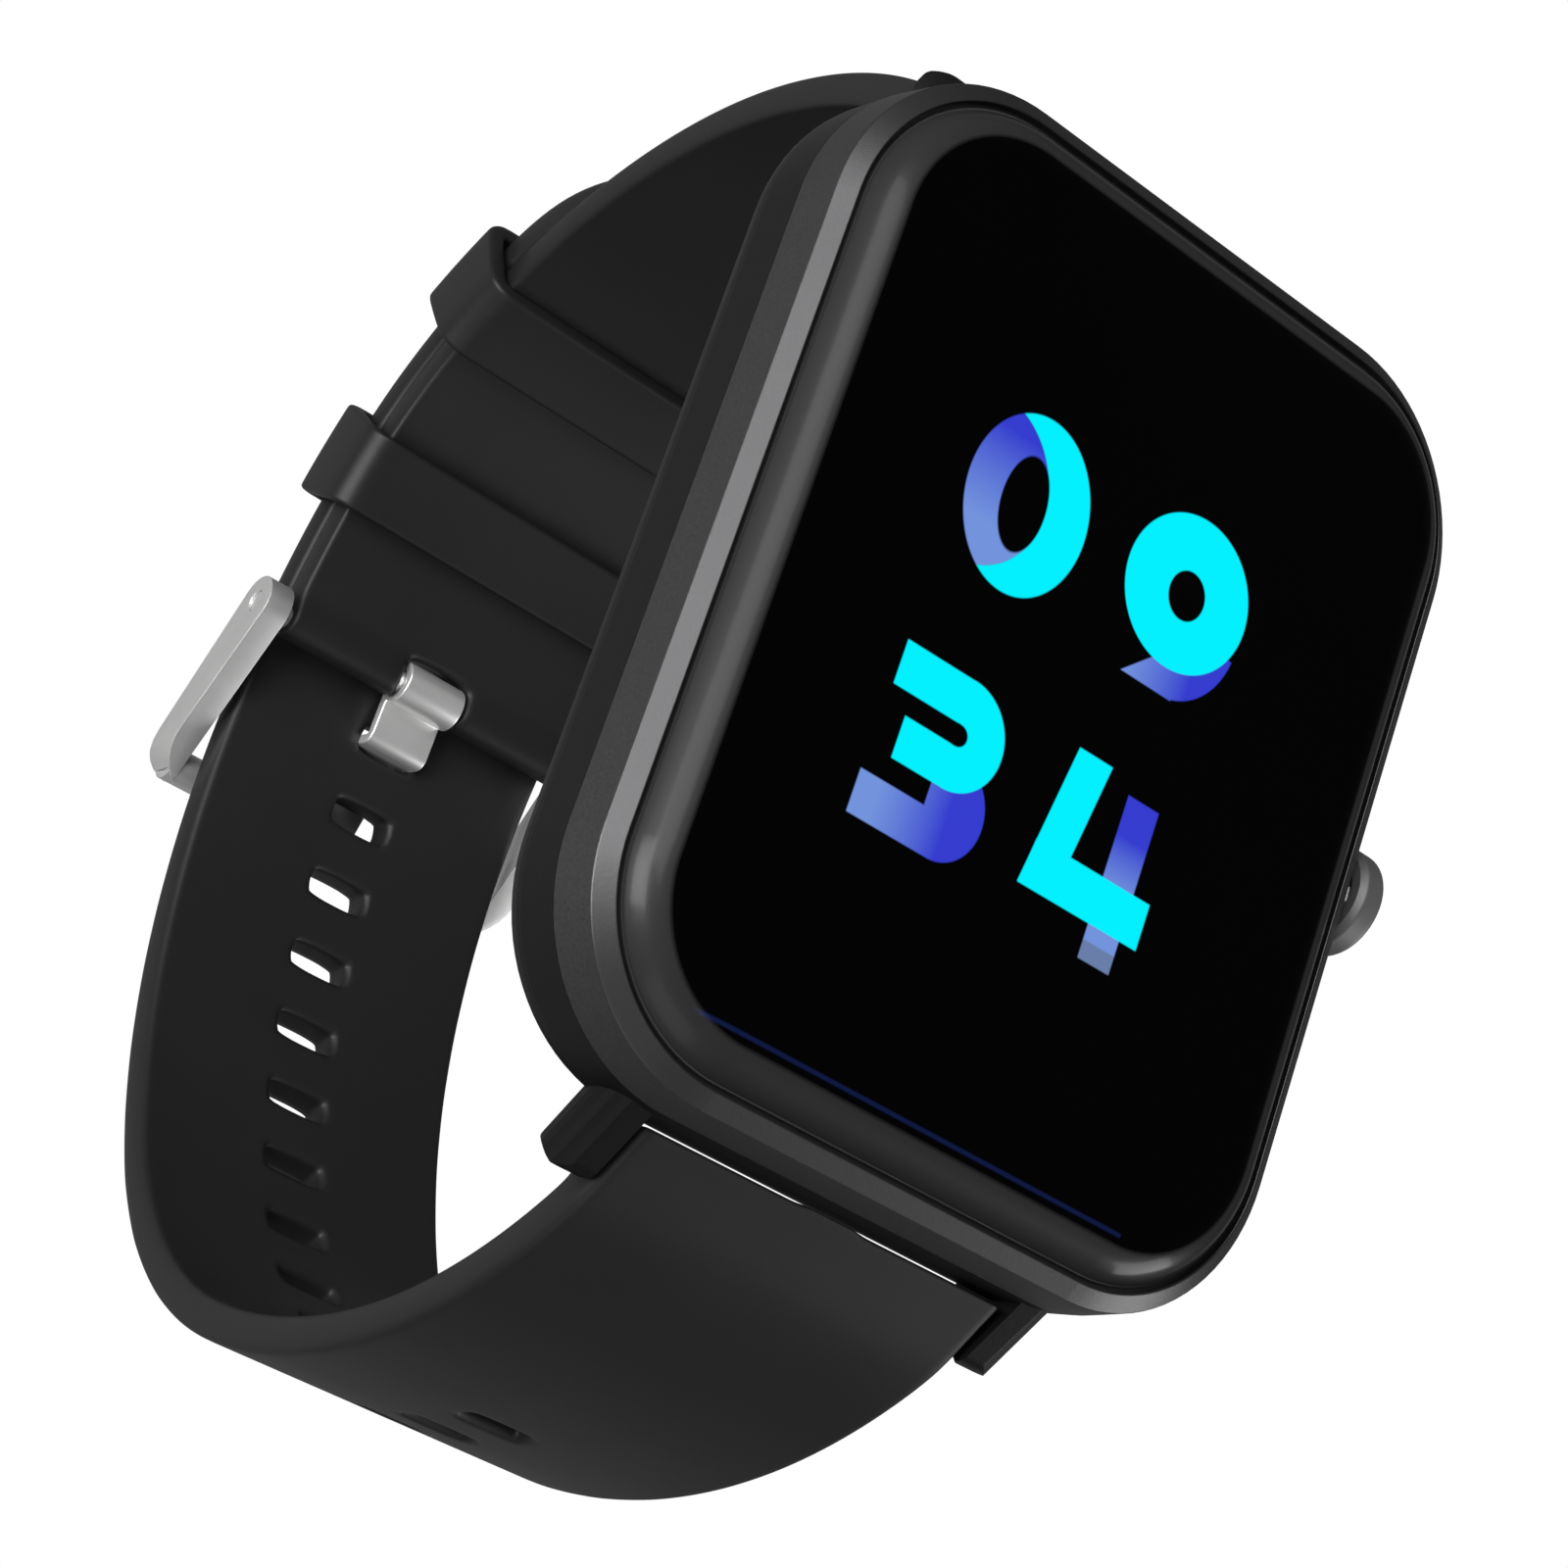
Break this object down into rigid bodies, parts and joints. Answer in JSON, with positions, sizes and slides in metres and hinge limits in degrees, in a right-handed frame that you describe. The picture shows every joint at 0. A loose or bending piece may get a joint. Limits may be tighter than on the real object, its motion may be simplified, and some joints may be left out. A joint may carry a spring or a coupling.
{
  "type": "smartwatch",
  "caption": "Square-cased smartwatch with a rotating side crown, on a fastened silicone strap with a pin buckle and keepers.",
  "frame": {"origin": "middle of the sensor window, on the face that rests on the wrist", "axes": "+X towards the crown, +Y towards 12 o'clock, +Z out of the display"},
  "size_m": [0.0389, 0.0646, 0.0621],
  "materials": {
    "cover_glass": "polished black-backed glass",
    "adhesive": "foam tape",
    "display": "display laminate",
    "flex": "polyimide film",
    "frame_metal": "dark bead-blasted with a polished rim",
    "carrier": "moulded",
    "brass": "knurled brass",
    "circuit_board": "solder mask",
    "chip": "moulded package",
    "tin": "tinned sheet",
    "battery_foil": "laminated pouch",
    "gasket": "moulded seal",
    "case_plastic": "fine matte texture",
    "steel": "turned steel",
    "sensor_glass": "dark polished window",
    "led": "clear resin",
    "gold": "gold plated",
    "spring_steel": "drawn wire",
    "white_plastic": "low-friction plastic",
    "crown_metal": "satin",
    "silicone": "matte silicone",
    "buckle_steel": "satin steel",
    "tongue_steel": "polished steel"
  },
  "bodies": {
    "case": {"cover_glass": "cover_glass", "glass_adhesive": "adhesive", "display_panel": "display", "display_flex": "flex", "case_frame": "frame_metal", "inner_carrier": "carrier", "screw_inserts": "brass", "main_board": "circuit_board", "processor": "chip", "shield_can": "tin", "motion_sensor": "chip", "battery": "battery_foil", "battery_lead": "flex", "vibration_motor": "tin", "antenna_strip": "flex", "case_gasket": "gasket", "rear_case": "case_plastic", "rear_screws": "steel", "sensor_window": "sensor_glass", "sensor_board": "circuit_board", "sensor_leds": "led", "light_detector": "chip", "charge_contacts": "gold", "crown_tube": "steel", "crown_spring": "spring_steel", "side_switch": "tin"},
    "strap_6": {"strap_hole_side": "silicone", "bar_tube_6": "steel", "bar_spring_6": "spring_steel"},
    "pin_6_left": {"bar_pin_6_left": "steel"},
    "pin_6_right": {"bar_pin_6_right": "steel"},
    "strap_12": {"strap_buckle_side": "silicone", "keeper_fixed": "silicone", "bar_tube_12": "steel", "bar_spring_12": "spring_steel", "buckle_pin": "steel"},
    "pin_12_left": {"bar_pin_12_left": "steel"},
    "pin_12_right": {"bar_pin_12_right": "steel"},
    "loop_keeper": {"keeper_sliding": "silicone"},
    "buckle": {"buckle_frame": "buckle_steel"},
    "tongue": {"buckle_tongue": "tongue_steel"},
    "crown_push": {"crown_washer": "white_plastic"},
    "crown": {"crown_cap": "crown_metal", "crown_stem": "steel", "crown_o_ring": "gasket", "crown_clip": "spring_steel"}
  },
  "joints": [
    {"name": "strap_6_swing", "type": "hinge", "parent": "case", "child": "strap_6", "pos_m": [0, -0.0242, 0.002], "axis": [1, 0, 0], "range_deg": [-0.15, 0.15]},
    {"name": "pin_6_left_slide", "type": "slide", "parent": "strap_6", "child": "pin_6_left", "axis": [1, 0, 0], "range_m": [0, 0.00125], "stiffness_N_per_m": 200, "springref_m": -0.003, "deforming": ["bar_spring_6"]},
    {"name": "pin_6_right_slide", "type": "slide", "parent": "strap_6", "child": "pin_6_right", "axis": [-1, 0, 0], "range_m": [0, 0.00125], "stiffness_N_per_m": 200, "springref_m": -0.003, "deforming": ["bar_spring_6"]},
    {"name": "strap_12_swing", "type": "hinge", "parent": "case", "child": "strap_12", "pos_m": [0, 0.0242, 0.002], "axis": [1, 0, 0], "range_deg": [-0.15, 0.15]},
    {"name": "pin_12_left_slide", "type": "slide", "parent": "strap_12", "child": "pin_12_left", "axis": [1, 0, 0], "range_m": [0, 0.00125], "stiffness_N_per_m": 200, "springref_m": -0.003, "deforming": ["bar_spring_12"]},
    {"name": "pin_12_right_slide", "type": "slide", "parent": "strap_12", "child": "pin_12_right", "axis": [-1, 0, 0], "range_m": [0, 0.00125], "stiffness_N_per_m": 200, "springref_m": -0.003, "deforming": ["bar_spring_12"]},
    {"name": "keeper_slide", "type": "hinge", "parent": "strap_12", "child": "loop_keeper", "pos_m": [0, 0.00492, -0.02218], "axis": [1, 0, 0], "range_deg": [-14, 3.5]},
    {"name": "buckle_swing", "type": "hinge", "parent": "strap_12", "child": "buckle", "pos_m": [0, 0.0051, -0.0452], "axis": [1, 0, 0], "range_deg": [-2, 0]},
    {"name": "tongue_swing", "type": "hinge", "parent": "strap_12", "child": "tongue", "pos_m": [0, 0.0051, -0.0452], "axis": [1, 0, 0], "range_deg": [0, 5]},
    {"name": "crown_press", "type": "slide", "parent": "case", "child": "crown_push", "axis": [-1, 0, 0], "range_m": [0, 0.00035], "stiffness_N_per_m": 300, "springref_m": -0.001, "deforming": ["crown_spring"]},
    {"name": "crown_turn", "type": "hinge", "parent": "crown_push", "child": "crown", "pos_m": [0.019, 0, 0.0059], "axis": [1, 0, 0], "continuous": true}
  ]
}
